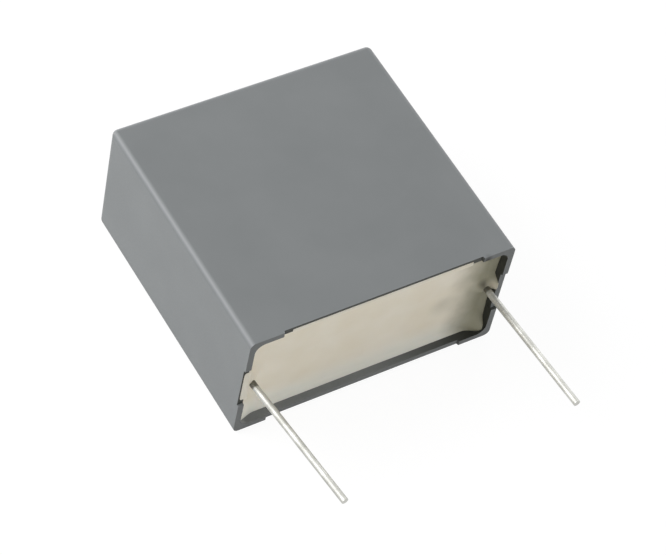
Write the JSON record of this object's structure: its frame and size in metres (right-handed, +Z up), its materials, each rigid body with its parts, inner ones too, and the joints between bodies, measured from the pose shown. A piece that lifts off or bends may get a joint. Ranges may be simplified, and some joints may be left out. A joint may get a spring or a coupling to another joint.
{
  "type": "box film capacitor",
  "caption": "Rectangular film capacitor: a resin-filled moulded plastic case, lying on a large face, with straight tinned wire leads standing out of its open end.",
  "frame": {"origin": "middle of the large case face that the part rests on", "axes": "+X from the left lead to the right lead, +Y from the leads to the closed end of the case, +Z up, across the case's thickness"},
  "size_m": [0.0414, 0.061, 0.02],
  "materials": {
    "case_plastic": "fine satin moulded grey plastic",
    "potting_resin": "cream cast resin, soft sheen",
    "metallised_film": "wound metallised film, silvery",
    "plain_film": "clear film over the roll",
    "sprayed_metal": "rough sprayed zinc",
    "solder": "bright solder",
    "tinned_wire": "tinned copper wire, satin"
  },
  "bodies": {
    "root": {"case": "case_plastic", "potting_resin": "potting_resin", "film_winding": "metallised_film", "cover_film": "plain_film", "end_contact_left": "sprayed_metal", "end_contact_right": "sprayed_metal", "solder_joint_left": "solder", "solder_joint_right": "solder", "lead_left": "tinned_wire", "lead_right": "tinned_wire"}
  },
  "joints": []
}
